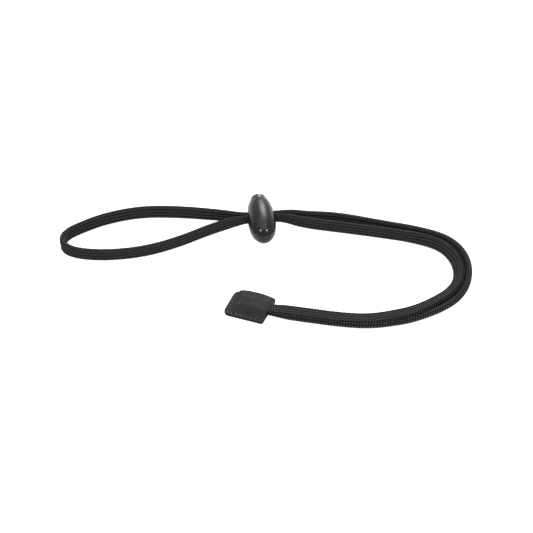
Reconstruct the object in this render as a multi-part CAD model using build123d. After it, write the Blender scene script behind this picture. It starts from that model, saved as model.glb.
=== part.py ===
from build123d import *
from math import cos, pi, radians, sin, tan
import os

# Spring cord lock on a doubled flat braided cord, whose ends are sewn into a leather tab.
# Millimetres, +Z up.  The lock lies on its side: its long axis is Y, the push button points to +Y,
# and the cord passes through it along X.  The origin is under the middle of the lock, on the table.

# ---- lock -------------------------------------------------------------------------------------
LOCK_RADIUS = 6.54          # greatest radius of the egg-shaped body
NOSE_LENGTH = 12.95         # from the widest section to the tip of the end cap
TAPER_LENGTH = 17.57        # from the widest section to where the taper would close
FULLNESS_ALONG = 2.08       # exponents of the rounded outline
FULLNESS_ACROSS = 2.70
SEAM_FROM_WIDEST = 8.56     # parting line between body and end cap
RIM_FROM_WIDEST = 13.10     # open end of the body, where the button comes out
BUTTON_RISE = 3.70          # button above the rim at rest
BUTTON_DOME = 0.45
BUTTON_EDGE = 0.50
RIM_WALL = 0.86             # body wall round the stem, at the rim
RIM_EDGE = 0.25
SEAM_WALL = 0.71            # body wall round the foot and the cap's spigot, at the seam
RUNNING_GAP = 0.08          # radial running clearance of the plunger
TRAVEL = 2.80               # from gripping to the cord windows standing in line
FOOT_DEPTH = 0.50           # guide foot of the plunger, from the body's cord window
FOOT_THICKNESS = 1.20
FOOT_SLACK = 0.60           # free travel from the gripping place to the stop shoulder
SPIGOT_WALL = 0.80
SPIGOT_ROOM = 1.06          # from the spigot to the foot with the button fully in
CAP_FLOOR = 2.60            # plastic between the cap's inside floor and its tip
BOSS_RADIUS = 1.80          # spring centring bosses
BOSS_LENGTH = 1.50
WINDOW_ROOM = 0.20          # above and below the gripped cord in its windows
WINDOW_CORNER = 0.90
WINDOW_EASE = 0.20          # room left beyond the cord when the button is fully in
WINDOW_CENTRE = 3.50        # middle of the gripped cord, from the widest section
WIRE = 0.50                 # spring wire
COIL_GAP = 0.50             # from the bosses to the wire
COILS = 5.5
SPRING_GAP = 0.02
CUT_PAST = 1.00             # how far a cut runs past the surface
OUTLINE_STEPS = 10

# ---- cord -------------------------------------------------------------------------------------
CORD_WIDTH = 5.70           # free flat braid, standing on edge
CORD_THICKNESS = 2.40
CORD_CORNER = 0.70
GRIPPED_WIDTH = 4.60        # the same braid squeezed in the lock
GRIPPED_THICKNESS = 1.60
GRIP_CORNER = 0.70
GRIP_REACH = 6.90           # half length of the squeezed stretch
FREE_REACH = 11.00          # where the braid has its free section again
MOUTH_GAP = 0.30            # between the strands at that place
SEWN_WIDTH = 6.00           # the same braid pressed flat between the leathers
SEWN_THICKNESS = 1.20
SEWN_CORNER = 0.40
SEWN_LENGTH = 13.00

# ---- leather tab ------------------------------------------------------------------------------
TAB_LENGTH = 19.70
TAB_WIDTH = 17.80
TAB_BULGE = 1.40            # the far edge bows out
LEATHER = 0.70              # thickness of each layer
TAB_TURN = -27.0            # direction in which the cord leaves the tab
TAB_MOUTH = (-2.60, -59.90)  # middle of the edge that the cord comes out of
MOUTH_CORNER = 1.20
FAR_CORNER = 4.50
NEAR_CORNER = 3.00
HUMP_SLOPE = 2.60           # run-out of the rise over the cord ends
STITCH_INSET = 1.40
STITCH_PITCH = 2.40
STITCH_LENGTH = 1.60
THREAD = 0.50
THREAD_RISE = 0.15          # middle of the thread above the leather
SECOND_ROW = 1.80           # from the first row of stitches to the second, at the mouth
POCKET_GAP = 0.02

# ---- places that follow -----------------------------------------------------------------------
button_top = RIM_FROM_WIDEST + BUTTON_RISE
widest_y = (NOSE_LENGTH - button_top) / 2          # the lock's own middle is Y = 0
axis_z = LOCK_RADIUS
bundle = 2 * GRIPPED_THICKNESS
grip_y = widest_y + WINDOW_CENTRE
window_height = GRIPPED_WIDTH + 2 * WINDOW_ROOM
body_window = (grip_y - bundle / 2 - TRAVEL, grip_y + bundle / 2)
plunger_window = (grip_y - bundle / 2, grip_y + bundle / 2 + TRAVEL + WINDOW_EASE)
seam_y = widest_y - SEAM_FROM_WIDEST
rim_y = widest_y + RIM_FROM_WIDEST
nose_y = widest_y - NOSE_LENGTH
floor_y = nose_y + CAP_FLOOR
foot_far_y = body_window[0] - FOOT_DEPTH
foot_near_y = foot_far_y - FOOT_THICKNESS
shoulder_y = foot_far_y + FOOT_SLACK
spigot_y = foot_near_y - TRAVEL - SPIGOT_ROOM
coil_radius = BOSS_RADIUS + COIL_GAP + WIRE / 2

# ---- cord routes ------------------------------------------------------------------------------
# Both strands leave the lock side by side, at the height of its axis, and come down on the table.
edge_z = CORD_WIDTH / 2
near_mouth = grip_y - (CORD_THICKNESS + MOUTH_GAP) / 2
far_mouth = grip_y + (CORD_THICKNESS + MOUTH_GAP) / 2
LOOP_ROUTE = [
    (-FREE_REACH, far_mouth, axis_z), (-22.1, 8.9, 4.4), (-37.0, 14.4, edge_z), (-55.4, 16.5, edge_z),
    (-72.5, 13.0, edge_z), (-84.3, 7.5, edge_z), (-90.9, 3.6, edge_z), (-94.0, -1.8, edge_z),
    (-92.5, -7.8, edge_z), (-85.4, -11.9, edge_z), (-72.5, -14.1, edge_z), (-55.4, -12.7, edge_z),
    (-39.2, -7.1, edge_z), (-25.5, -0.5, 3.1), (-FREE_REACH, near_mouth, axis_z),
]
OUTER_ROUTE = [
    (FREE_REACH, far_mouth, axis_z), (20.7, 2.4, 4.4), (36.2, 1.9, edge_z), (54.9, -5.6, edge_z),
    (73.7, -12.6, edge_z), (86.4, -20.1, edge_z), (93.2, -33.2, edge_z), (92.8, -48.7, edge_z),
    (86.2, -61.1, edge_z), (76.7, -68.2, edge_z),
]
INNER_ROUTE = [
    (FREE_REACH, near_mouth, axis_z), (19.5, -2.3, 4.6), (34.9, -4.1, edge_z), (53.8, -9.8, edge_z),
    (72.5, -16.6, edge_z), (83.3, -23.2, edge_z), (88.7, -34.6, edge_z), (87.9, -47.5, edge_z),
    (81.9, -56.9, edge_z), (72.5, -64.6, edge_z),
]
# The pair turns over from standing on edge to lying flat, the inner strand on the outer one, up to
# the tab.
PAIR_ROUTE = [(57.6, -72.3, 0), (43.0, -75.2, 0), (29.6, -72.5, 0), (15.9, -67.1, 0), (6.3, -63.9, 0)]
PAIR_GAP = 0.16             # between the strands once they lie together
JOINING_RUN = 7.5           # straight run in which a strand comes alongside the other
QUARTER_TURN = radians(90)
TWIST_STEPS = 10
ARC_SHARE = 0.45            # of a run, that each of the arcs at its ends takes
UP = Vector(0, 0, 1)


def outline_radius(y):
    """Radius of the egg at a distance y from its widest section; minus is towards the nose."""
    length = NOSE_LENGTH if y < 0 else TAPER_LENGTH
    share = min(abs(y) / length, 1)
    return LOCK_RADIUS * (1 - share**FULLNESS_ALONG) ** (1 / FULLNESS_ACROSS)


stem_bore = outline_radius(RIM_FROM_WIDEST) - RIM_WALL
stem_radius = stem_bore - RUNNING_GAP
foot_bore = outline_radius(-SEAM_FROM_WIDEST) - SEAM_WALL
foot_radius = foot_bore - RUNNING_GAP


def turned(*lines):
    """Solid of revolution about the lock's axis, from lines of (radius, y)."""
    profile = make_face(Curve() + list(lines))
    return Pos(0, 0, axis_z) * revolve(profile, Axis.Y)


def rod(radius, near, far):
    """Cylinder on the lock's axis between two places along Y."""
    place = Plane(origin=(0, near, axis_z), x_dir=(1, 0, 0), z_dir=(0, 1, 0))
    return extrude(place * Circle(radius), far - near)


def egg(first, last):
    """The egg between two distances from its widest section, closed at its nose if it gets there."""
    shares = [sin(pi / 2 * i / OUTLINE_STEPS) for i in range(OUTLINE_STEPS, -1, -1)]
    stops = [last - (last - first) * share for share in shares]
    points = [(outline_radius(y), widest_y + y) for y in stops]
    axis_near = (0, points[0][1])
    axis_far = (0, points[-1][1])
    lines = [Spline(*points), Line(points[-1], axis_far), Line(axis_far, axis_near)]
    if first > -NOSE_LENGTH:
        lines.append(Line(axis_near, points[0]))
    return turned(*lines)


def window(span):
    """Cord window through the lock along X, between two places along Y."""
    middle = (span[0] + span[1]) / 2
    shape = RectangleRounded(span[1] - span[0], window_height, WINDOW_CORNER)
    place = Plane(origin=(0, middle, axis_z), x_dir=(0, 1, 0), z_dir=(1, 0, 0))
    return extrude(place * shape, LOCK_RADIUS + CUT_PAST, both=True)


def make_body():
    """Egg-shaped body: stepped bore for the plunger, cord window across, open at both ends."""
    shell = egg(-SEAM_FROM_WIDEST, RIM_FROM_WIDEST)
    rim = shell.edges().filter_by(lambda e: e.is_closed).sort_by(Axis.Y)[-1]
    shell = fillet(rim, RIM_EDGE)
    shell -= rod(stem_bore, seam_y - CUT_PAST, rim_y + CUT_PAST)
    shell -= rod(foot_bore, seam_y - CUT_PAST, shoulder_y)
    return shell - window(body_window)


def make_end_cap():
    """Domed end, with a spigot pressed into the body and a boss that centres the spring."""
    cap = egg(-NOSE_LENGTH, -SEAM_FROM_WIDEST)
    cap += rod(foot_bore, seam_y, spigot_y)
    cap -= rod(foot_bore - SPIGOT_WALL, floor_y, spigot_y + CUT_PAST)
    return cap + rod(BOSS_RADIUS, floor_y, floor_y + BOSS_LENGTH)


def make_plunger():
    """Push button, stem with the cord window, guide foot and spring boss in one moulding."""
    top = rim_y + BUTTON_RISE
    shoulder = top - BUTTON_DOME
    stem = turned(
        Line((0, foot_near_y), (stem_radius, foot_near_y)),
        Line((stem_radius, foot_near_y), (stem_radius, shoulder)),
        ThreePointArc((stem_radius, shoulder), (stem_radius / 2, top - BUTTON_DOME / 4), (0, top)),
        Line((0, top), (0, foot_near_y)),
    )
    edge = stem.edges().filter_by(lambda e: e.is_closed).sort_by(Axis.Y)[-1]
    stem = fillet(edge, BUTTON_EDGE)
    stem += rod(foot_radius, foot_near_y, foot_far_y)
    stem += rod(BOSS_RADIUS, foot_near_y - BOSS_LENGTH, foot_near_y)
    return stem - window(plunger_window)


def make_spring():
    """Compression spring between the cap's floor and the plunger's foot."""
    start = floor_y + WIRE / 2 + SPRING_GAP
    height = foot_near_y - WIRE / 2 - SPRING_GAP - start
    helix = Helix(height / COILS, height, coil_radius)
    wire = Plane(origin=helix @ 0, z_dir=helix % 0) * Circle(WIRE / 2)
    spring = sweep(wire, helix, is_frenet=True)
    place = Plane(origin=(0, start, axis_z), x_dir=(1, 0, 0), z_dir=(0, 1, 0))
    return place.location * spring


def braid(place, width, thickness, corner):
    """Section of the flat braid; the plane's x runs through its thickness, y along its width."""
    return place * RectangleRounded(thickness, width, corner)


def route_path(name, points):
    """Straight runs joined by arcs as large as the runs allow."""
    corners = [Vector(*p) for p in points]
    radii = []
    for before, here, after in zip(corners, corners[1:], corners[2:]):
        turn = radians((here - before).get_angle(after - here))
        radii.append(ARC_SHARE * min((here - before).length, (after - here).length) / tan(turn / 2))
    print(name, "radii", [round(r, 1) for r in radii])
    return FilletPolyline(*corners, radius=radii)


def upright(path, share):
    """Plane across a path, with x level and y up."""
    ahead = path % share
    return Plane(origin=path @ share, x_dir=UP.cross(ahead).normalized(), z_dir=ahead)


def in_pair(path, share, side):
    """Plane across one strand of the turning pair: side 1 ends underneath, side -1 on top."""
    ahead = path % share
    roll = QUARTER_TURN * share
    across = UP.cross(ahead) * cos(roll) - UP * sin(roll)
    spacing = CORD_THICKNESS + PAIR_GAP
    height = CORD_WIDTH / 2 * cos(roll) + (CORD_THICKNESS + PAIR_GAP / 2) * sin(roll)
    middle = path @ share + UP * height + across * (side * spacing / 2)
    return Plane(origin=middle, x_dir=across, z_dir=ahead)


def joined_to_pair(points, path, side):
    """A strand's route, carried on to the place where it comes alongside the other strand."""
    start = in_pair(path, 0, side)
    return points + [tuple(start.origin - start.z_dir * JOINING_RUN), tuple(start.origin)]


def make_gripped(side, left, right):
    """One strand inside the lock, squeezed in the middle and swelling to each free strand."""
    y = grip_y + side * GRIPPED_THICKNESS / 2
    left_end, right_end = (
        Plane(origin=(end * GRIP_REACH, y, axis_z), x_dir=(0, 1, 0), z_dir=(1, 0, 0)) for end in (-1, 1)
    )
    squeezed = (GRIPPED_WIDTH, GRIPPED_THICKNESS, GRIP_CORNER)
    free = (CORD_WIDTH, CORD_THICKNESS, CORD_CORNER)
    strand = extrude(braid(left_end, *squeezed), 2 * GRIP_REACH)
    strand += loft([braid(left, *free), braid(left_end, *squeezed)], ruled=True)
    return strand + loft([braid(right_end, *squeezed), braid(right, *free)], ruled=True)


def make_strand(name, path):
    """Free braid standing on edge along a route."""
    section = braid(upright(path, 0), CORD_WIDTH, CORD_THICKNESS, CORD_CORNER)
    strand = sweep(section, path)
    print(name, "length", round(path.length, 1), "volume", round(strand.volume, 1),
          "section x length", round(section.area * path.length, 1))
    return strand


def make_end(path, side):
    """One strand of the pair: it turns over, is pressed flat at the tab and ends between the leathers."""
    sections = [
        braid(in_pair(path, step / TWIST_STEPS, side), CORD_WIDTH, CORD_THICKNESS, CORD_CORNER)
        for step in range(TWIST_STEPS + 1)
    ]
    for depth in (0, SEWN_LENGTH):
        height = LEATHER + SEWN_THICKNESS * (1 - side / 2)
        middle = tab_place.from_local_coords(Vector(-depth, 0, height))
        sewn = Plane(origin=middle, x_dir=-UP, z_dir=-tab_place.x_dir)
        sections.append(braid(sewn, SEWN_WIDTH, SEWN_THICKNESS, SEWN_CORNER))
    return loft(sections, ruled=True)


def tab_outline(inset=0):
    """Outline of the tab: the cord comes out of its straight edge at x = 0."""
    half = TAB_WIDTH / 2
    outline = make_face([
        Line((0, -half), (0, half)),
        ThreePointArc((0, half), (-TAB_LENGTH / 2, half + TAB_BULGE), (-TAB_LENGTH, half)),
        Line((-TAB_LENGTH, half), (-TAB_LENGTH, -half)),
        Line((-TAB_LENGTH, -half), (0, -half)),
    ])
    corners = ((0, half, MOUTH_CORNER), (0, -half, MOUTH_CORNER),
               (-TAB_LENGTH, half, FAR_CORNER), (-TAB_LENGTH, -half, NEAR_CORNER))
    for x, y, radius in corners:
        outline = fillet(outline.vertices().sort_by_distance((x, y))[0], radius)
    return offset(outline, -inset) if inset else outline


def make_lower_leather():
    """Flat leather layer on the table."""
    return tab_place * extrude(tab_outline(), LEATHER)


def make_upper_leather():
    """Upper leather layer, raised over the two cord ends and stitched down round them."""
    rise = 2 * SEWN_THICKNESS
    top_length = SEWN_LENGTH + LEATHER
    top_width = SEWN_WIDTH + LEATHER
    foot_length = top_length + HUMP_SLOPE
    foot = Pos(-foot_length / 2, 0) * Rectangle(foot_length, top_width + 2 * HUMP_SLOPE)
    crest = Pos(-top_length / 2, 0) * Rectangle(top_length, top_width)
    layer = Pos(0, 0, LEATHER) * extrude(tab_outline(), LEATHER)
    layer += loft([Pos(0, 0, 2 * LEATHER) * foot, Pos(0, 0, 2 * LEATHER + rise) * crest], ruled=True)
    pocket = Box(2 * (SEWN_LENGTH + POCKET_GAP), SEWN_WIDTH + 2 * POCKET_GAP, rise + POCKET_GAP,
                 align=(Align.CENTER, Align.CENTER, Align.MIN))
    return tab_place * (layer - Pos(0, 0, LEATHER) * pocket)


def make_stitch():
    """One stitch: a bar of thread on the leather with both its ends going down through the layers."""
    reach = STITCH_LENGTH / 2
    low, high = THREAD, 2 * LEATHER + THREAD_RISE
    line = Polyline((-reach, 0, low), (-reach, 0, high), (reach, 0, high), (reach, 0, low))
    thread = Plane(origin=line @ 0, z_dir=line % 0) * Circle(THREAD / 2)
    return sweep(thread, line, transition=Transition.ROUND)


def make_stitching():
    """Running stitch round the tab and a second row at the mouth, both stopping at the cord ends."""
    stitch = make_stitch()
    seam = tab_outline(STITCH_INSET).face().outer_wire()
    count = round(seam.length / STITCH_PITCH)
    clear = SEWN_WIDTH / 2 + LEATHER / 2 + HUMP_SLOPE + STITCH_LENGTH / 2
    places = []
    for step in range(count):
        at = seam.position_at(step / count)
        along = seam.tangent_at(step / count)
        if at.X < -2 * STITCH_INSET or abs(at.Y) > clear:
            places.append(Plane(origin=at, x_dir=along, z_dir=UP))
    row = -STITCH_INSET - SECOND_ROW
    reach = TAB_WIDTH / 2 - 2 * STITCH_INSET
    for side in (-1, 1):
        for y in (reach, reach - STITCH_PITCH):
            if y > clear:
                places.append(Plane(origin=(row, side * y, 0), x_dir=(0, 1, 0), z_dir=UP))
    return Compound([tab_place * (place.location * stitch) for place in places])


tab_place = Plane(
    origin=(*TAB_MOUTH, 0), x_dir=(cos(radians(TAB_TURN)), sin(radians(TAB_TURN)), 0), z_dir=UP
)
pair = route_path("pair", PAIR_ROUTE)
loop = route_path("cord_loop", LOOP_ROUTE)
outer = route_path("cord_outer_tail", joined_to_pair(OUTER_ROUTE, pair, 1))
inner = route_path("cord_inner_tail", joined_to_pair(INNER_ROUTE, pair, -1))

parts = {}
parts["lock_body"] = make_body()
parts["end_cap"] = make_end_cap()
parts["plunger"] = make_plunger()
parts["spring"] = make_spring()
parts["cord_gripped_far"] = make_gripped(1, upright(loop, 0), upright(outer, 0))
parts["cord_gripped_near"] = make_gripped(-1, upright(loop, 1), upright(inner, 0))
parts["cord_loop"] = make_strand("cord_loop", loop)
parts["cord_outer_tail"] = make_strand("cord_outer_tail", outer)
parts["cord_inner_tail"] = make_strand("cord_inner_tail", inner)
parts["cord_outer_end"] = make_end(pair, 1)
parts["cord_inner_end"] = make_end(pair, -1)
parts["tab_lower_leather"] = make_lower_leather()
parts["tab_upper_leather"] = make_upper_leather()
parts["stitching"] = make_stitching()

os.makedirs("parts", exist_ok=True)
for node, shape in parts.items():
    shape.label = node
    export_step(shape, f"parts/{node}.step")
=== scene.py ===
import bpy
import math
import numpy as np
from mathutils import Matrix, Vector


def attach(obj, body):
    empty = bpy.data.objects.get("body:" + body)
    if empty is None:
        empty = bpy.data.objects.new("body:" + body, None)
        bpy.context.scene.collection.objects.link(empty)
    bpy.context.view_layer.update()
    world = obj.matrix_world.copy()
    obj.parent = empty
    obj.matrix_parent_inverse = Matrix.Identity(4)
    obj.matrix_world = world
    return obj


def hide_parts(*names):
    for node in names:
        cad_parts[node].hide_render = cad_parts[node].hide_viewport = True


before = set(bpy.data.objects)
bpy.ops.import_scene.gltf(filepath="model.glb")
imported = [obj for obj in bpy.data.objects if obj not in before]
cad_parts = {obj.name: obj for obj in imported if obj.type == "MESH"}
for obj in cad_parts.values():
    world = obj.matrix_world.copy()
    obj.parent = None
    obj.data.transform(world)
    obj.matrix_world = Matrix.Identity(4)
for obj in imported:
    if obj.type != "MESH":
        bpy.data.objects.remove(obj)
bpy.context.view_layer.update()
MM = 0.001

# ---- Braided cord: the loop ---------------------------------------------------------------------
# Flat polyester braid, 5.7 mm wide and 2.4 mm thick, standing on edge.  Its yarns lie in ten columns
# of slanting floats, four on each broad side and one over each edge.  The lock squeezes it.
CORD_WIDTH, CORD_THICKNESS, CORD_ROUND = 5.7, 2.4, 0.75
FREE = (CORD_WIDTH, CORD_THICKNESS)
NEARLY_FREE, GRIPPED = (5.5, 2.3), (4.6, 1.6)
YARN_PITCH, YARN_RISE = 1.25, 0.30
YARN_ROUNDNESS, YARN_END_FALL, OUTLINE_DEPTH = 0.6, 0.7, 0.45
COLUMNS, COLUMN_POINTS = 10, 5
RINGS_PER_PITCH = 8


def smooth_line(name, route):
    """The line that a cord follows: a smooth curve drawn by the points of its route."""
    curve = bpy.data.curves.new(name, "CURVE")
    curve.dimensions = "3D"
    spline = curve.splines.new("NURBS")
    spline.points.add(len(route) - 1)
    for point, place in zip(spline.points, route):
        point.co = (*place, 1.0)
    spline.order_u = 3
    spline.use_endpoint_u = True
    spline.resolution_u = 96
    guide = bpy.data.objects.new(name, curve)
    bpy.context.collection.objects.link(guide)
    mesh = bpy.data.meshes.new_from_object(guide)
    line = np.array([v.co[:] for v in mesh.vertices])
    bpy.data.objects.remove(guide)
    bpy.data.curves.remove(curve)
    bpy.data.meshes.remove(mesh)
    return line


def braid_section():
    """Points round the braid, evenly spaced from the middle of its lower edge, with normals."""
    half_t, half_w, r = CORD_THICKNESS / 2, CORD_WIDTH / 2, CORD_ROUND
    fine = []
    for cx, cy, start in ((half_t - r, r - half_w, -90), (half_t - r, half_w - r, 0),
                          (r - half_t, half_w - r, 90), (r - half_t, r - half_w, 180)):
        for step in range(33):
            turn = math.radians(start + 90 * step / 32)
            fine.append((cx + r * math.cos(turn), cy + r * math.sin(turn),
                         math.cos(turn), math.sin(turn)))
    fine.append(fine[0])
    fine = np.array(fine)
    length = np.concatenate([[0], np.cumsum(np.hypot(*np.diff(fine[:, :2], axis=0).T))])
    low_edge = -(half_t - r)
    count = COLUMNS * COLUMN_POINTS
    at = (low_edge - length[-1] / COLUMNS / 2 + length[-1] * np.arange(count) / count) % length[-1]
    return np.array([np.interp(at, length, fine[:, i]) for i in range(4)]).T


def braid(name, line, stations):
    """Braided strand along a line.  A station is (share of the length, lean, width, thickness)."""
    step = YARN_PITCH * MM / RINGS_PER_PITCH
    reach = np.concatenate([[0], np.cumsum(np.linalg.norm(np.diff(line, axis=0), axis=1))])
    rings = int(reach[-1] / step)
    at = np.linspace(0, reach[-1], rings)
    places = np.array([np.interp(at, reach, line[:, i]) for i in range(3)]).T
    ahead = np.gradient(places, axis=0)
    for i in range(3):
        ahead[2:-2, i] = np.convolve(ahead[:, i], np.ones(5) / 5, "valid")
    ahead /= np.linalg.norm(ahead, axis=1)[:, None]
    level = np.cross((0, 0, 1), ahead)
    level /= np.linalg.norm(level, axis=1)[:, None]
    upright = np.cross(ahead, level)
    shares, leans, widths, thicks = np.array(stations).T
    lean = np.radians(np.interp(at / reach[-1], shares, leans))[:, None]
    width = np.interp(at / reach[-1], shares, widths) / CORD_WIDTH
    thick = np.interp(at / reach[-1], shares, thicks) / CORD_THICKNESS
    across = level * np.cos(lean) + upright * np.sin(lean)
    along_width = np.cross(ahead, across)

    section = braid_section()
    count = len(section)
    column, step_in = np.divmod(np.arange(count), COLUMN_POINTS)
    u = 2 * step_in / COLUMN_POINTS - 1
    edge = column % (COLUMNS // 2) == 0
    slant = np.where(edge, 0, np.where(column % 2 == 0, 0.5, -0.5))
    stagger = 0.5 * (column % 2)

    def yarn_phase(ring, u_here, col):
        return ring / RINGS_PER_PITCH + slant[col * COLUMN_POINTS] * u_here + stagger[col * COLUMN_POINTS]

    ring_no = np.arange(rings)[:, None]
    phase = ring_no / RINGS_PER_PITCH + slant * u + stagger
    rib = (0.5 + 0.5 * np.cos(2 * math.pi * phase)) ** YARN_ROUNDNESS
    depth = rib * (1 - YARN_END_FALL * np.abs(u) ** 3)
    rise = YARN_RISE * (depth - OUTLINE_DEPTH)
    a = section[:, 0] * thick[:, None] + section[:, 2] * rise
    b = section[:, 1] * width[:, None] + section[:, 3] * rise
    points = (places[:, None, :] + (across[:, None, :] * a[..., None]
              + along_width[:, None, :] * b[..., None]) * MM)

    faces, uvs = [], []
    for i in range(rings - 1):
        for j in range(count):
            k = (j + 1) % count
            faces.append((i * count + j, i * count + k, (i + 1) * count + k, (i + 1) * count + j))
            u0 = u[j]
            u1 = u0 + 2 / COLUMN_POINTS
            col = column[j]
            for ring, here in ((i, u0), (i, u1), (i + 1, u1), (i + 1, u0)):
                uvs.append((yarn_phase(ring, here, col), col + (here + 1) / 2))
    last = (rings - 1) * count
    faces.append(tuple(reversed(range(count))))
    faces.append(tuple(range(last, last + count)))
    uvs += [(0, 0)] * (2 * count)
    mesh = bpy.data.meshes.new(name)
    mesh.from_pydata(points.reshape(-1, 3).tolist(), [], faces)
    mesh.uv_layers.new(name="yarn").data.foreach_set("uv", np.array(uvs).ravel())
    # yarn_top: how high each point stands on its float; the braid's material paints shade and sheen from it
    mesh.attributes.new("yarn_top", "FLOAT", "POINT").data.foreach_set("value", depth.ravel())
    mesh.shade_smooth()
    strand = bpy.data.objects.new(name, mesh)
    bpy.context.collection.objects.link(strand)
    return strand


def fine_noise(nodes, links, coords, scale, stretch=(1, 1, 1), detail=3.0):
    """Noise on given coordinates, stretched along chosen axes; gives its Fac socket."""
    mapping = nodes.new("ShaderNodeMapping")
    mapping.inputs["Scale"].default_value = stretch
    links.new(coords, mapping.inputs["Vector"])
    noise = nodes.new("ShaderNodeTexNoise")
    noise.inputs["Scale"].default_value = scale
    noise.inputs["Detail"].default_value = detail
    links.new(mapping.outputs[0], noise.inputs["Vector"])
    return noise.outputs["Fac"]


def new_material(name, roughness, specular=0.5):
    """Node material with its Principled shader set to plain values; gives it, nodes, links, shader."""
    material = bpy.data.materials.new(name)
    material.use_nodes = True
    nodes, links = material.node_tree.nodes, material.node_tree.links
    shader = nodes["Principled BSDF"]
    shader.inputs["Roughness"].default_value = roughness
    shader.inputs["Specular IOR Level"].default_value = specular
    return material, nodes, links, shader


def ramp(nodes, links, fac, *stops):
    """Colour ramp from (place, colour) stops; gives its Color socket."""
    node = nodes.new("ShaderNodeValToRGB")
    links.new(fac, node.inputs["Fac"])
    for i, (place, colour) in enumerate(stops):
        element = node.color_ramp.elements[i] if i < 2 else node.color_ramp.elements.new(place)
        element.position = place
        element.color = (*colour, 1)
    return node.outputs["Color"]


def bump(nodes, links, height, distance, strength=1.0, under=None):
    """Bump node for a height; gives its Normal socket."""
    node = nodes.new("ShaderNodeBump")
    node.inputs["Strength"].default_value = strength
    node.inputs["Distance"].default_value = distance
    links.new(height, node.inputs["Height"])
    if under is not None:
        links.new(under, node.inputs["Normal"])
    return node.outputs["Normal"]


def polyester():
    """Black textured polyester yarn: fibres along each float, with painted shade between the floats and
    painted sheen on their tops.
    """
    material, nodes, links, shader = new_material("black_polyester_braid", 0.7, 0.08)
    yarn = nodes.new("ShaderNodeUVMap")
    yarn.uv_map = "yarn"
    fibres = fine_noise(nodes, links, yarn.outputs["UV"], 1.0, (9, 1.2, 1), 2.0)
    top = nodes.new("ShaderNodeAttribute")
    top.attribute_name = "yarn_top"
    # Painted shade and sheen: near black down between the floats, where shade falls, and lighter on their
    # tops, where light falls.
    painted_shade_and_sheen = ramp(nodes, links, top.outputs["Fac"],
                (0.35, (0.0006, 0.0006, 0.0006)), (0.95, (0.047, 0.0445, 0.046)))
    tint = ramp(nodes, links, fibres, (0.3, (0.62, 0.62, 0.64)), (0.75, (1.3, 1.26, 1.28)))
    mix = nodes.new("ShaderNodeMix")
    mix.data_type, mix.blend_type = "RGBA", "MULTIPLY"
    mix.inputs["Factor"].default_value = 1.0
    links.new(painted_shade_and_sheen, mix.inputs["A"])
    links.new(tint, mix.inputs["B"])
    links.new(mix.outputs["Result"], shader.inputs["Base Color"])
    links.new(bump(nodes, links, fibres, 0.00006, 0.8), shader.inputs["Normal"])
    return material


polyester_braid = polyester()
FAR_MOUTH, NEAR_MOUTH, AXIS_Z = 0.002925, 0.000225, 0.00654
FAR_GRIP, NEAR_GRIP = 0.002375, 0.000775
LOOP_ROUTE = [
    (-0.0045, FAR_GRIP, AXIS_Z), (-0.0110, FAR_MOUTH, AXIS_Z), (-0.0221, 0.0083, 0.0045),
    (-0.0370, 0.0137, 0.0030), (-0.0554, 0.0158, 0.0030), (-0.0725, 0.0124, 0.0030),
    (-0.0843, 0.0069, 0.0030), (-0.0909, 0.0029, 0.0030), (-0.0940, -0.0024, 0.0030),
    (-0.0925, -0.0083, 0.0030), (-0.0854, -0.0123, 0.0030), (-0.0725, -0.0145, 0.0030),
    (-0.0554, -0.0134, 0.0030), (-0.0392, -0.0080, 0.0030), (-0.0255, -0.0014, 0.0032),
    (-0.0110, NEAR_MOUTH, AXIS_Z), (-0.0045, NEAR_GRIP, AXIS_Z),
]
loop_line = smooth_line("cord_loop_line", LOOP_ROUTE)
cord_loop = braid("braided_loop", loop_line, [
    (0.00, 0, *GRIPPED), (0.02, 0, *GRIPPED), (0.06, 4, *NEARLY_FREE), (0.12, 10, *FREE),
    (0.20, 16, *FREE), (0.40, 16, *FREE), (0.50, 6, *FREE), (0.60, 0, *FREE),
    (0.94, 0, *NEARLY_FREE), (0.98, 0, *GRIPPED), (1.00, 0, *GRIPPED),
])
cord_loop.data.materials.append(polyester_braid)
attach(cord_loop, "lock")
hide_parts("cord_loop")

# ---- Braided cord: the two ends -----------------------------------------------------------------
# The same braid on the other side of the lock.  The inner strand falls over on to the outer one in
# the turn; both then lie flat, and are pressed thin where they are sewn between the tab's leathers.
LYING, PRESSED, SEWN = (5.7, 2.3), (5.8, 1.25), (6.0, 1.2)
OUTER_ROUTE = [
    (0.0045, FAR_GRIP, AXIS_Z), (0.0110, FAR_MOUTH, AXIS_Z), (0.0207, 0.0024, 0.0046),
    (0.0362, 0.0017, 0.0030), (0.0549, -0.0059, 0.0030), (0.0736, -0.0130, 0.0030),
    (0.0858, -0.0207, 0.0031), (0.0919, -0.0334, 0.0031), (0.0915, -0.0484, 0.0030),
    (0.0857, -0.0602, 0.0026), (0.0764, -0.0671, 0.0023), (0.0652, -0.0714, 0.0020),
    (0.0576, -0.0729, 0.0016), (0.0430, -0.0742, 0.0015), (0.0296, -0.0715, 0.0015),
    (0.0159, -0.0671, 0.0015), (0.0063, -0.0639, 0.0015), (-0.0026, -0.0599, 0.0013),
    (-0.0142, -0.0540, 0.0013),
]
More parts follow.
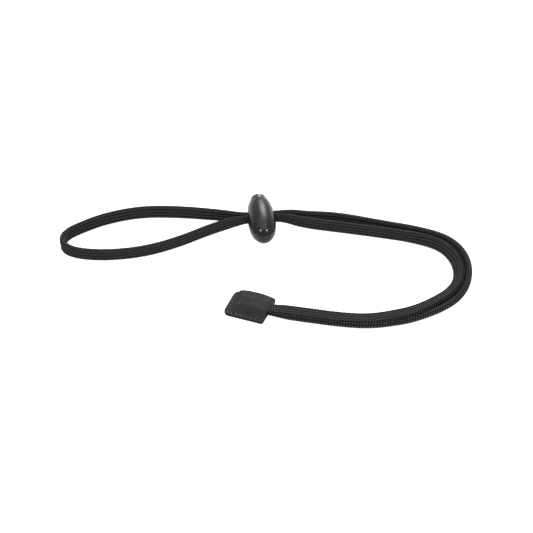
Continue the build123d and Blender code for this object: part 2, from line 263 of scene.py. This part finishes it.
INNER_ROUTE = [
    (0.0045, NEAR_GRIP, AXIS_Z), (0.0110, NEAR_MOUTH, AXIS_Z), (0.0195, -0.0023, 0.0048),
    (0.0349, -0.0048, 0.0030), (0.0538, -0.0107, 0.0030), (0.0725, -0.0174, 0.0031),
    (0.0826, -0.0241, 0.0031), (0.0876, -0.0351, 0.0032), (0.0876, -0.0478, 0.0034),
    (0.0826, -0.0574, 0.0036), (0.0730, -0.0646, 0.0037), (0.0647, -0.0690, 0.0037),
    (0.0576, -0.0713, 0.0037), (0.0430, -0.0737, 0.0038), (0.0296, -0.0714, 0.0038),
    (0.0159, -0.0669, 0.0037), (0.0063, -0.0637, 0.0036), (-0.0026, -0.0599, 0.0026),
    (-0.0142, -0.0540, 0.0025),
]
outer_line = smooth_line("cord_outer_line", OUTER_ROUTE)
inner_line = smooth_line("cord_inner_line", INNER_ROUTE)
cord_outer = braid("braided_outer_end", outer_line, [
    (0.00, 0, *GRIPPED), (0.02, 0, *GRIPPED), (0.05, 0, *NEARLY_FREE), (0.10, 0, *FREE),
    (0.34, 0, *FREE), (0.42, -14, *FREE), (0.49, -26, *FREE), (0.53, -44, *FREE),
    (0.57, -62, *FREE), (0.62, -72, *FREE), (0.68, -84, *LYING), (0.905, -90, *LYING),
    (0.935, -90, *PRESSED), (1.00, -90, *SEWN),
])
cord_inner = braid("braided_inner_end", inner_line, [
    (0.00, 0, *GRIPPED), (0.02, 0, *GRIPPED), (0.05, 0, *NEARLY_FREE), (0.10, 0, *FREE),
    (0.28, 0, *FREE), (0.36, -26, *FREE), (0.42, -46, *FREE), (0.49, -56, *FREE),
    (0.54, -68, *FREE), (0.60, -80, *LYING), (0.66, -92, *LYING), (0.80, -97, *LYING),
    (0.91, -94, *LYING), (0.935, -90, *PRESSED), (1.00, -90, *SEWN),
])
for strand, cad_nodes in ((cord_outer, ("cord_outer_tail", "cord_outer_end")),
                          (cord_inner, ("cord_inner_tail", "cord_inner_end"))):
    strand.data.materials.append(polyester_braid)
    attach(strand, "lock")
    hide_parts(*cad_nodes)

# ---- Braided cord: inside the lock --------------------------------------------------------------
# The stretches of the two strands that the plunger squeezes, between the free ones on either side.
# They pass through the plunger's window with a little room, so that it can slide over them.
SQUEEZED = (4.3, 1.4)
for name, y, cad_node in (("braided_far_grip", FAR_GRIP, "cord_gripped_far"),
                          ("braided_near_grip", NEAR_GRIP, "cord_gripped_near")):
    line = smooth_line(name + "_line", [(-0.0045, y, AXIS_Z), (0, y, AXIS_Z), (0.0045, y, AXIS_Z)])
    grip = braid(name, line, [(0, 0, *SQUEEZED), (1, 0, *SQUEEZED)])
    grip.data.materials.append(polyester_braid)
    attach(grip, "lock")
    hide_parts(cad_node)

# ---- Lock body ----------------------------------------------------------------------------------
# Egg-shaped shell moulded in black plastic, open at the seam and at the rim.  Its stepped bore
# guides the plunger, and the cord passes through the window across it.
WIDEST_Y = -1.925
LOCK_RADIUS, NOSE_LENGTH, TAPER_LENGTH = 6.54, 12.95, 17.57
FULLNESS_ALONG, FULLNESS_ACROSS = 2.08, 2.70
SEAM, RIM, SHOULDER = -8.56, 13.10, -0.80
STEM_BORE, FOOT_BORE = 4.03, 4.63
ROUND_SIDES, BODY_STEPS = 112, 44
CENTRE_HOLE = 0.02
EDGE_ROUNDING, RIM_ROUNDING = 0.16, 0.42
BODY_WINDOW, WINDOW_HEIGHT, WINDOW_CORNER, CUTTER_LENGTH = (-0.90, 5.10), 5.0, 0.9, 16.0


def egg_radius(y):
    """Radius of the egg at a distance from its widest section."""
    share = abs(y) / (NOSE_LENGTH if y < 0 else TAPER_LENGTH)
    return LOCK_RADIUS * (1 - min(share, 1) ** FULLNESS_ALONG) ** (1 / FULLNESS_ACROSS)


def turned(name, rings):
    """Turned shape on the lock's axis: one circle drawn out from ring to ring of (place, radius)."""
    bpy.ops.object.select_all(action="DESELECT")
    y, radius = rings[0]
    axis_point = (0, (WIDEST_Y + y) * MM, AXIS_Z)
    bpy.ops.mesh.primitive_circle_add(vertices=ROUND_SIDES, radius=radius * MM, location=axis_point,
                                      rotation=(math.radians(90), 0, 0))
    piece = bpy.context.object
    piece.name = name
    bpy.ops.object.mode_set(mode="EDIT")
    bpy.ops.mesh.select_all(action="SELECT")
    for next_y, next_radius in rings[1:]:
        bpy.ops.mesh.extrude_region_move(
            TRANSFORM_OT_translate={"value": (0, (next_y - y) * MM, 0)})
        share = next_radius / radius
        bpy.ops.transform.resize(value=(share, 1, share),
                                 center_override=(0, (WIDEST_Y + next_y) * MM, AXIS_Z))
        y, radius = next_y, next_radius
    bpy.ops.mesh.select_all(action="SELECT")
    bpy.ops.mesh.remove_doubles(threshold=0.000002)
    bpy.ops.mesh.select_all(action="DESELECT")
    bpy.ops.mesh.select_non_manifold()
    bpy.ops.mesh.edge_face_add()
    bpy.ops.mesh.select_all(action="SELECT")
    bpy.ops.mesh.normals_make_consistent(inside=False)
    bpy.ops.object.mode_set(mode="OBJECT")
    bpy.ops.object.transform_apply(location=True, rotation=True, scale=True)
    return piece


def cut_window(piece, near, far):
    """Cord window across a turned piece, with rounded corners."""
    bpy.ops.object.select_all(action="DESELECT")
    bpy.ops.mesh.primitive_cube_add(size=MM, location=(0, (WIDEST_Y + (near + far) / 2) * MM, AXIS_Z))
    cutter = bpy.context.object
    bpy.ops.transform.resize(value=(CUTTER_LENGTH, far - near, WINDOW_HEIGHT))
    bpy.ops.object.transform_apply(location=True, scale=True)
    bpy.ops.object.mode_set(mode="EDIT")
    bpy.ops.mesh.select_all(action="DESELECT")
    bpy.ops.object.mode_set(mode="OBJECT")
    for edge in cutter.data.edges:
        a, b = (cutter.data.vertices[i].co for i in edge.vertices)
        edge.select = abs(a.x - b.x) > MM
    bpy.ops.object.mode_set(mode="EDIT")
    bpy.ops.mesh.select_mode(type="EDGE")
    bpy.ops.mesh.bevel(offset=WINDOW_CORNER * MM, segments=6)
    bpy.ops.object.mode_set(mode="OBJECT")
    bpy.ops.object.select_all(action="DESELECT")
    bpy.context.view_layer.objects.active = piece
    piece.select_set(True)
    cut = piece.modifiers.new("window", "BOOLEAN")
    cut.operation, cut.solver, cut.object = "DIFFERENCE", "EXACT", cutter
    bpy.ops.object.modifier_apply(modifier="window")
    bpy.data.objects.remove(cutter)


def smoothed(piece, degrees):
    """Smooth shading, with edges sharper than an angle kept."""
    bpy.ops.object.select_all(action="DESELECT")
    bpy.context.view_layer.objects.active = piece
    piece.select_set(True)
    bpy.ops.object.shade_smooth_by_angle(angle=math.radians(degrees))


def moulding_marks():
    """Node group shared by the moulded pieces: faint flow lines along the lock and fine handling
    scratches.  It gives a roughness and a height."""
    group = bpy.data.node_groups.new("moulding_marks", "ShaderNodeTree")
    for title, kind in (("Smoothest", "NodeSocketFloat"), ("Roughest", "NodeSocketFloat")):
        group.interface.new_socket(title, in_out="INPUT", socket_type=kind)
    for title in ("Roughness", "Height"):
        group.interface.new_socket(title, in_out="OUTPUT", socket_type="NodeSocketFloat")
    nodes, links = group.nodes, group.links
    inside, outside = nodes.new("NodeGroupInput"), nodes.new("NodeGroupOutput")
    place = nodes.new("ShaderNodeTexCoord").outputs["Object"]
    lines = fine_noise(nodes, links, place, 900, (1, 0.06, 1), 2)
    clouds = fine_noise(nodes, links, place, 260, (1, 1, 1), 4)
    both = nodes.new("ShaderNodeMath")
    both.operation = "MULTIPLY"
    links.new(lines, both.inputs[0])
    links.new(clouds, both.inputs[1])
    spread = nodes.new("ShaderNodeMapRange")
    spread.inputs["From Min"].default_value = 0.12
    spread.inputs["From Max"].default_value = 0.42
    links.new(both.outputs[0], spread.inputs["Value"])
    links.new(inside.outputs["Smoothest"], spread.inputs["To Min"])
    links.new(inside.outputs["Roughest"], spread.inputs["To Max"])
    links.new(spread.outputs["Result"], outside.inputs["Roughness"])
    links.new(lines, outside.inputs["Height"])
    return group


MOULDING_MARKS = moulding_marks()


def moulded_plastic(name, dark, light, smoothest, roughest, specular, relief):
    """Moulded black plastic: its colour varies a little, and its gloss follows the moulding marks."""
    material, nodes, links, shader = new_material(name, roughest, specular)
    marks = nodes.new("ShaderNodeGroup")
    marks.node_tree = MOULDING_MARKS
    marks.inputs["Smoothest"].default_value = smoothest
    marks.inputs["Roughest"].default_value = roughest
    place = nodes.new("ShaderNodeTexCoord").outputs["Object"]
    clouds = fine_noise(nodes, links, place, 180)
    links.new(ramp(nodes, links, clouds, (0.35, dark), (0.7, light)), shader.inputs["Base Color"])
    links.new(marks.outputs["Roughness"], shader.inputs["Roughness"])
    links.new(bump(nodes, links, marks.outputs["Height"], relief, 0.5), shader.inputs["Normal"])
    return material


def egg_rings(first, last, shares):
    """Rings of the egg's outside at shares of the way from one place to another."""
    return [(first + (last - first) * share, egg_radius(first + (last - first) * share)) for share in shares]


def finished(piece, material, body, cad_node):
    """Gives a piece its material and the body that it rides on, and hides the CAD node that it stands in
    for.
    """
    piece.data.materials.clear()
    piece.data.materials.append(material)
    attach(piece, body)
    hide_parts(cad_node)


seam_radius, rim_radius = egg_radius(SEAM), egg_radius(RIM)
body_rings = [(SEAM, seam_radius - EDGE_ROUNDING), (SEAM + 0.05, seam_radius - 0.05)]
body_rings += egg_rings(SEAM + EDGE_ROUNDING, RIM - RIM_ROUNDING + EDGE_ROUNDING,
                        [i / BODY_STEPS for i in range(BODY_STEPS + 1)])
body_rings += [
    (RIM - 0.10, egg_radius(RIM - 0.10) - 0.06), (RIM - 0.02, rim_radius - 0.17), (RIM, rim_radius - 0.32),
    (RIM, STEM_BORE + 0.12), (RIM - 0.04, STEM_BORE + 0.04), (RIM - 0.14, STEM_BORE),
    (SHOULDER, STEM_BORE), (SHOULDER, FOOT_BORE), (SEAM, FOOT_BORE), (SEAM, seam_radius - EDGE_ROUNDING),
]
lock_body = turned("egg_body", body_rings)
cut_window(lock_body, *BODY_WINDOW)
smoothed(lock_body, 32)
finished(lock_body, moulded_plastic("satin_black_shell", (0.0045, 0.0049, 0.0045), (0.0070, 0.0077, 0.0070),
                                    0.26, 0.38, 0.22, 0.000012), "lock", "lock_body")

# ---- End cap ------------------------------------------------------------------------------------
# Domed end of the egg in the same plastic, more polished, with a fine raised bead at the seam.  It is
# pressed in with a spigot, and a boss inside holds the spring in the middle.
SPIGOT_END, SPIGOT_BORE, CAP_FLOOR, BOSS_RADIUS, BOSS_LENGTH = -6.46, 3.83, -10.35, 1.80, 1.50
CAP_STEPS, BEAD = 26, 0.05
cap_rings = [(-NOSE_LENGTH, CENTRE_HOLE)]
cap_rings += egg_rings(-NOSE_LENGTH, SEAM - EDGE_ROUNDING,
                       [1 - math.cos(math.pi / 2 * i / CAP_STEPS) for i in range(1, CAP_STEPS + 1)])
cap_rings += [
    (SEAM - 0.12, seam_radius + BEAD), (SEAM - 0.04, seam_radius + BEAD), (SEAM, seam_radius - 0.05),
    (SEAM, FOOT_BORE),
    (SPIGOT_END - 0.15, FOOT_BORE), (SPIGOT_END, FOOT_BORE - 0.15), (SPIGOT_END, SPIGOT_BORE),
    (CAP_FLOOR, SPIGOT_BORE), (CAP_FLOOR, BOSS_RADIUS), (CAP_FLOOR + BOSS_LENGTH - 0.2, BOSS_RADIUS),
    (CAP_FLOOR + BOSS_LENGTH, BOSS_RADIUS - 0.2), (CAP_FLOOR + BOSS_LENGTH, CENTRE_HOLE),
]
end_cap = turned("domed_cap", cap_rings)
smoothed(end_cap, 32)
finished(end_cap, moulded_plastic("polished_black_cap", (0.0045, 0.0049, 0.0045), (0.0065, 0.0072, 0.0065),
                                  0.14, 0.22, 0.24, 0.000006), "lock", "end_cap")

# ---- Plunger ------------------------------------------------------------------------------------
# Push button, stem, guide foot and spring boss in one black moulding.  The window across its stem
# stands aside from the body's window until the button is pressed.
STEM_RADIUS, FOOT_RADIUS, FOOT_FAR, FOOT_NEAR = 3.95, 4.55, -1.40, -2.60
BUTTON_TOP, BUTTON_DOME, BUTTON_EDGE = 16.80, 0.45, 0.50
PLUNGER_WINDOW = (1.90, 8.10)
plunger_rings = [
    (FOOT_NEAR - BOSS_LENGTH, CENTRE_HOLE), (FOOT_NEAR - BOSS_LENGTH, BOSS_RADIUS - 0.2),
    (FOOT_NEAR - BOSS_LENGTH + 0.2, BOSS_RADIUS), (FOOT_NEAR, BOSS_RADIUS), (FOOT_NEAR, FOOT_RADIUS - 0.12),
    (FOOT_NEAR + 0.12, FOOT_RADIUS), (FOOT_FAR - 0.12, FOOT_RADIUS), (FOOT_FAR, FOOT_RADIUS - 0.12),
    (FOOT_FAR, STEM_RADIUS), (4.0, STEM_RADIUS), (9.0, STEM_RADIUS), (13.0, STEM_RADIUS),
]
flank = BUTTON_TOP - BUTTON_DOME - BUTTON_EDGE
plunger_rings += [(flank + BUTTON_EDGE * math.sin(math.radians(a)),
                   STEM_RADIUS - BUTTON_EDGE * (1 - math.cos(math.radians(a)))) for a in (0, 18, 36, 54, 72)]
plunger_rings += [(BUTTON_TOP - BUTTON_DOME * (r / STEM_RADIUS) ** 2, r)
                  for r in (3.4, 3.0, 2.4, 1.8, 1.2, 0.6, CENTRE_HOLE)]
plunger = turned("push_button_plunger", plunger_rings)
cut_window(plunger, *PLUNGER_WINDOW)
smoothed(plunger, 32)
finished(plunger, moulded_plastic("black_button", (0.0070, 0.0074, 0.0070), (0.0100, 0.0105, 0.0100),
                                  0.20, 0.30, 0.36, 0.000008), "plunger", "plunger")

# ---- Spring -------------------------------------------------------------------------------------
# Compression spring of drawn steel wire between the cap's floor and the plunger's foot.
spring_steel, nodes, links, shader = new_material("drawn_spring_wire", 0.3)
shader.inputs["Metallic"].default_value = 1.0
drawn = fine_noise(nodes, links, nodes.new("ShaderNodeTexCoord").outputs["Object"], 2500, (1, 3, 1))
links.new(ramp(nodes, links, drawn, (0.3, (0.42, 0.41, 0.40)), (0.7, (0.62, 0.61, 0.60))),
          shader.inputs["Base Color"])
links.new(bump(nodes, links, drawn, 0.000004), shader.inputs["Normal"])
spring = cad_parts["spring"]
spring.data.materials.clear()
spring.data.materials.append(spring_steel)

# ---- Leather tab --------------------------------------------------------------------------------
# Two layers of matt black leather round the cord ends: the lower one flat, the upper one drawn up
# over the ends and stitched down round them, so that it swells in the middle.
TAB_LENGTH, TAB_WIDTH, TAB_BULGE, LEATHER = 19.70, 17.80, 1.40, 0.70
TAB_MOUTH, TAB_TURN = (-2.60, -59.90), math.radians(-27)
CORNERS = ((0, 1, 1.20), (0, -1, 1.20), (-1, 1, 4.50), (-1, -1, 3.00))
STITCH_INSET, FLOOR_GAP = 1.40, 0.02
CORD_ENDS_RISE, PUFF, SEAM_GROOVE, EDGE_DROP, WAVE = 2.45, 0.75, 0.38, 0.22, 0.10
RING_INSETS = (0.12, 0.28, 0.5, 0.8, 1.1, 1.4, 1.7, 2.0, 2.4, 2.9, 3.5, 4.2, 5.0, 5.9, 6.9, 7.8, 8.5)
tab_place = Matrix.Translation((TAB_MOUTH[0] * MM, TAB_MOUTH[1] * MM, 0)) @ Matrix.Rotation(TAB_TURN, 4, "Z")


def eased(value, start, end):
    """Smooth step from 0 at the start to 1 at the end."""
    t = min(max((value - start) / (end - start), 0), 1)
    return t * t * (3 - 2 * t)


def from_edge(x, y):
    """How far a place on the tab is from its edge, in mm."""
    half_y = TAB_WIDTH / 2 + (TAB_BULGE * (1 - (2 * x / TAB_LENGTH + 1) ** 2) if y > 0 else 0)
    return (1 - max(abs(2 * x / TAB_LENGTH + 1), abs(y) / half_y)) * TAB_WIDTH / 2


def leather_top(x, y):
    """Height of the upper leather's top, in mm."""
    edge = from_edge(x, y)
    over_ends = eased(-abs(y), -6.6, -2.7) * eased(x, -17.2, -12.0)
    puff = PUFF * eased(edge, 1.5, 6.0) * (1 - 0.5 * over_ends)
    groove = SEAM_GROOVE * math.exp(-((edge - STITCH_INSET) / 0.45) ** 2) * (1 - over_ends)
    turned_down = EDGE_DROP * (1 - eased(edge, 0, 0.45))
    wave = WAVE * math.sin(0.55 * x + 1.0) * math.sin(0.5 * y + 0.4) * eased(edge, 1.5, 4)
    return 2 * LEATHER + CORD_ENDS_RISE * over_ends + puff - groove - turned_down + wave


def leather_layer(name, height, thickness):
    """One layer of the tab: its outline drawn in to its middle in rings, raised to a height."""
    bpy.ops.object.select_all(action="DESELECT")
    bpy.ops.mesh.primitive_plane_add(size=1, location=(-TAB_LENGTH / 2 * MM, 0, 0))
    layer = bpy.context.object
    layer.name = name
    bpy.ops.transform.resize(value=(TAB_LENGTH * MM, TAB_WIDTH * MM, 1))
    bpy.ops.object.transform_apply(location=True, scale=True)
    for end, side, radius in CORNERS:
        corner = Vector((end * TAB_LENGTH * MM, side * TAB_WIDTH / 2 * MM, 0))
        bpy.ops.object.mode_set(mode="EDIT")
        bpy.ops.mesh.select_mode(type="VERT")
        bpy.ops.mesh.select_all(action="DESELECT")
        bpy.ops.object.mode_set(mode="OBJECT")
        min(layer.data.vertices, key=lambda v: (v.co - corner).length).select = True
        bpy.ops.object.mode_set(mode="EDIT")
        bpy.ops.mesh.bevel(offset=radius * MM, segments=8, affect="VERTICES")
    bpy.ops.mesh.select_all(action="SELECT")
    bpy.ops.mesh.delete(type="ONLY_FACE")
    bpy.ops.object.mode_set(mode="OBJECT")
    for edge in layer.data.edges:
        a, b = (layer.data.vertices[i].co for i in edge.vertices)
        edge.select = (a - b).length > 8 * MM
    bpy.ops.object.mode_set(mode="EDIT")
    bpy.ops.mesh.select_mode(type="EDGE")
    bpy.ops.mesh.subdivide(number_cuts=25)
    bpy.ops.mesh.select_all(action="SELECT")
    reach = TAB_WIDTH / 2
    inset = 0.0
    for next_inset in RING_INSETS:
        share = (reach - next_inset) / (reach - inset)
        bpy.ops.mesh.extrude_region_move()
        bpy.ops.transform.resize(value=(share, share, 1), center_override=(-TAB_LENGTH / 2 * MM, 0, 0))
        inset = next_inset
    bpy.ops.mesh.merge(type="CENTER")
    bpy.ops.mesh.select_all(action="SELECT")
    bpy.ops.mesh.normals_make_consistent(inside=False)
    bpy.ops.object.mode_set(mode="OBJECT")
    mesh = layer.data
    for vertex in mesh.vertices:
        x, y = vertex.co.x / MM, vertex.co.y / MM
        share = max(y, 0) / (TAB_WIDTH / 2)
        y += TAB_BULGE * (1 - (2 * x / TAB_LENGTH + 1) ** 2) * share
        vertex.co = (x * MM, y * MM, height(x, y) * MM)
    if sum(face.normal.z for face in mesh.polygons) < 0:
        mesh.flip_normals()
    layer.matrix_world = tab_place
    bpy.ops.object.transform_apply(location=True, rotation=True)
    thick = layer.modifiers.new("thick", "SOLIDIFY")
    thick.thickness, thick.offset, thick.use_even_offset = thickness * MM, -1, True
    bpy.ops.object.modifier_apply(modifier="thick")
    smoothed(layer, 50)
    return layer


def matt_leather():
    """Black leather: fine pebbled grain, slightly uneven dye, soft creases."""
    material, nodes, links, shader = new_material("matt_black_leather", 0.78, 0.14)
    place = nodes.new("ShaderNodeTexCoord").outputs["Object"]
    cells = nodes.new("ShaderNodeTexVoronoi")
    cells.feature = "DISTANCE_TO_EDGE"
    cells.inputs["Scale"].default_value = 1500
    links.new(place, cells.inputs["Vector"])
    pebbles = nodes.new("ShaderNodeMapRange")
    pebbles.inputs["From Max"].default_value = 0.25
    links.new(cells.outputs["Distance"], pebbles.inputs["Value"])
    clouds = fine_noise(nodes, links, place, 220, (1, 1, 1), 5)
    grain = fine_noise(nodes, links, place, 2600, (1, 1, 1), 3)
    dye = ramp(nodes, links, clouds, (0.3, (0.0095, 0.0103, 0.0099)), (0.72, (0.0165, 0.0180, 0.0172)))
    shade = ramp(nodes, links, grain, (0.3, (0.75, 0.75, 0.75)), (0.7, (1.2, 1.2, 1.2)))
    mix = nodes.new("ShaderNodeMix")
    mix.data_type, mix.blend_type = "RGBA", "MULTIPLY"
    mix.inputs["Factor"].default_value = 1.0
    links.new(dye, mix.inputs["A"])
    links.new(shade, mix.inputs["B"])
    links.new(mix.outputs["Result"], shader.inputs["Base Color"])
    creased = bump(nodes, links, clouds, 0.00025, 0.6)
    pebbled = bump(nodes, links, pebbles.outputs["Result"], 0.00005, 0.6, creased)
    links.new(bump(nodes, links, grain, 0.00005, 0.7, pebbled), shader.inputs["Normal"])
    return material


black_leather = matt_leather()
tab_lower = leather_layer("lower_leather", lambda x, y: LEATHER + FLOOR_GAP, LEATHER)
finished(tab_lower, black_leather, "lock", "tab_lower_leather")
tab_upper = leather_layer("upper_leather", leather_top, LEATHER)
finished(tab_upper, black_leather, "lock", "tab_upper_leather")

# ---- Stitching ----------------------------------------------------------------------------------
# Running stitch in black bonded thread round the tab, with a second row at the mouth.  Each stitch
# dips into its holes at both ends.
STITCH_PITCH, STITCH_LENGTH, THREAD = 2.40, 1.60, 0.50
THREAD_RISE, SECOND_ROW, STITCH_CUTS = 0.10, 1.80, 8
CORD_ENDS_HALF, SECOND_ROW_HALF = 6.55, 6.70


def seam_line(inset):
    """Points of the seam round the tab, in mm, in order."""
    half_x, half_y = TAB_LENGTH / 2 - inset, TAB_WIDTH / 2 - inset
    line = []
    for end, side, radius in (CORNERS[0], CORNERS[2], CORNERS[3], CORNERS[1]):
        r = max(radius - inset, 0.5)
        sx = 1 if end == 0 else -1
        start = {(1, 1): 0, (-1, 1): 90, (-1, -1): 180, (1, -1): 270}[(sx, side)]
        for step in range(9):
            turn = math.radians(start + 90 * step / 8)
            line.append((sx * (half_x - r) + r * math.cos(turn), side * (half_y - r) + r * math.sin(turn)))
    line.append(line[0])
    fine = []
    for (x0, y0), (x1, y1) in zip(line, line[1:]):
        for step in range(20):
            x, y = x0 + (x1 - x0) * step / 20, y0 + (y1 - y0) * step / 20
            bow = TAB_BULGE * (1 - (x / (TAB_LENGTH / 2)) ** 2) * max(y, 0) / (TAB_WIDTH / 2)
            fine.append((x - TAB_LENGTH / 2, y + bow))
    return fine


def stitch_places():
    """Middle and direction of every stitch."""
    line = seam_line(STITCH_INSET)
    steps = [math.dist(a, b) for a, b in zip(line, line[1:] + line[:1])]
    total, count = sum(steps), round(sum(steps) / STITCH_PITCH)
    places, gone, i = [], 0.0, 0
    for stitch in range(count):
        target = total * stitch / count
        while gone + steps[i] < target:
            gone += steps[i]
            i += 1
        a, b = line[i], line[(i + 1) % len(line)]
        if a[0] < -2 * STITCH_INSET or abs(a[1]) > CORD_ENDS_HALF:
            places.append((a, math.atan2(b[1] - a[1], b[0] - a[0])))
    return places + [((-STITCH_INSET - SECOND_ROW, side * SECOND_ROW_HALF), math.radians(90))
                     for side in (-1, 1)]


bpy.ops.object.select_all(action="DESELECT")
bpy.ops.mesh.primitive_cylinder_add(vertices=10, radius=THREAD / 2 * MM, depth=STITCH_LENGTH * MM,
                                    end_fill_type="TRIFAN", rotation=(0, math.radians(90), 0))
stitch = bpy.context.object
bpy.ops.object.transform_apply(rotation=True)
bpy.ops.object.mode_set(mode="EDIT")
for cut in range(1, STITCH_CUTS):
    bpy.ops.mesh.select_all(action="SELECT")
    bpy.ops.mesh.bisect(plane_co=(STITCH_LENGTH * MM * (cut / STITCH_CUTS - 0.5), 0, 0), plane_no=(1, 0, 0))
bpy.ops.object.mode_set(mode="OBJECT")
for vertex in stitch.data.vertices:
    share = abs(vertex.co.x) / (STITCH_LENGTH / 2 * MM)
    ply = 1 + 0.12 * math.cos(3 * math.atan2(vertex.co.z, vertex.co.y) + 9 * vertex.co.x / (THREAD * MM))
    vertex.co.y *= ply * (1 - 0.25 * share ** 4)
    vertex.co.z = vertex.co.z * ply * (1 - 0.2 * share ** 4) - 0.42 * MM * share ** 3
copies = []
for (x, y), turn in stitch_places():
    copy = stitch.copy()
    copy.data = stitch.data.copy()
    bpy.context.collection.objects.link(copy)
    on_leather = Matrix.Translation((x * MM, y * MM, (leather_top(x, y) + THREAD_RISE) * MM))
    copy.matrix_world = tab_place @ on_leather @ Matrix.Rotation(turn, 4, "Z")
    copies.append(copy)
bpy.data.objects.remove(stitch)
bpy.ops.object.select_all(action="DESELECT")
for copy in copies:
    copy.select_set(True)
stitching = copies[0]
bpy.context.view_layer.objects.active = stitching
bpy.ops.object.join()
stitching.name = "running_stitch"
bpy.ops.object.transform_apply(location=True, rotation=True, scale=True)
smoothed(stitching, 60)
bonded_thread, nodes, links, shader = new_material("black_bonded_thread", 0.42, 0.4)
twist = fine_noise(nodes, links, nodes.new("ShaderNodeTexCoord").outputs["Object"], 4000, (1, 1, 1), 2)
links.new(ramp(nodes, links, twist, (0.3, (0.008, 0.008, 0.008)), (0.7, (0.045, 0.046, 0.047))),
          shader.inputs["Base Color"])
links.new(bump(nodes, links, twist, 0.00004, 0.8), shader.inputs["Normal"])
finished(stitching, bonded_thread, "lock", "stitching")

# ---- Floor, light and camera --------------------------------------------------------------------
# White paper sweep under a large soft box, with one low behind the lock and two small ones in front.
bpy.ops.object.select_all(action="DESELECT")
bpy.ops.mesh.primitive_plane_add(size=6, location=(0, 0, -0.0002))
floor = bpy.context.object
floor.name = "studio_floor"
bpy.ops.object.transform_apply(location=True)
paper, nodes, links, shader = new_material("white_paper_sweep", 0.9, 0.1)
shader.inputs["Emission Color"].default_value = (1, 1, 1, 1)
shader.inputs["Emission Strength"].default_value = 0.90
speck = fine_noise(nodes, links, nodes.new("ShaderNodeTexCoord").outputs["Object"], 60)
links.new(ramp(nodes, links, speck, (0, (0.44, 0.44, 0.44)), (1, (0.47, 0.47, 0.47))),
          shader.inputs["Base Color"])
floor.data.materials.append(paper)

world = bpy.data.worlds.new("studio")
world.use_nodes = True
world.node_tree.nodes["Background"].inputs["Color"].default_value = (1, 1, 1, 1)
world.node_tree.nodes["Background"].inputs["Strength"].default_value = 0.72
bpy.context.scene.world = world
bpy.context.scene.view_settings.view_transform = "Standard"


def softbox(name, place, target, size, power):
    """Rectangular area light at a place, turned to a target."""
    light = bpy.data.lights.new(name, "AREA")
    light.shape, light.size, light.size_y = "RECTANGLE", *size
    light.energy = power
    lamp = bpy.data.objects.new(name, light)
    lamp.location = place
    lamp.rotation_mode = "QUATERNION"
    lamp.rotation_quaternion = (Vector(target) - Vector(place)).to_track_quat("-Z", "Y")
    bpy.context.collection.objects.link(lamp)


softbox("overhead_box", (0, 0.15, 1.1), (0, 0, 0), (1.2, 1.2), 7.5)
softbox("back_box", (0.20, 0.78, 0.59), (0, 0, 0), (0.40, 0.36), 6.5)
softbox("left_front_box", (-0.55, -0.31, 0.78), (0, 0, 0), (0.11, 0.11), 5.0)
softbox("right_front_box", (0.49, -0.39, 0.78), (0, 0, 0), (0.11, 0.11), 5.0)

AZIMUTH, ELEVATION, DISTANCE, PICTURE_WIDTH = math.radians(-6), math.radians(40), 2.4, 0.2493
right = Vector((math.cos(AZIMUTH), math.sin(AZIMUTH), 0))
forward = Vector((-math.sin(AZIMUTH), math.cos(AZIMUTH), 0))
up = forward * math.sin(ELEVATION) + Vector((0, 0, math.cos(ELEVATION)))
back = Vector((0, 0, math.sin(ELEVATION))) - forward * math.cos(ELEVATION)
look_at = Vector((0, -0.001925, AXIS_Z)) + right * 0.002175 - up * 0.02093
view_data = bpy.data.cameras.new("studio_camera")
view_data.sensor_width = 36
view_data.lens = DISTANCE * 36 / PICTURE_WIDTH
camera = bpy.data.objects.new("studio_camera", view_data)
camera.location = look_at + back * DISTANCE
camera.rotation_mode = "QUATERNION"
camera.rotation_quaternion = (-back).to_track_quat("-Z", "Y")
bpy.context.collection.objects.link(camera)
bpy.context.scene.camera = camera
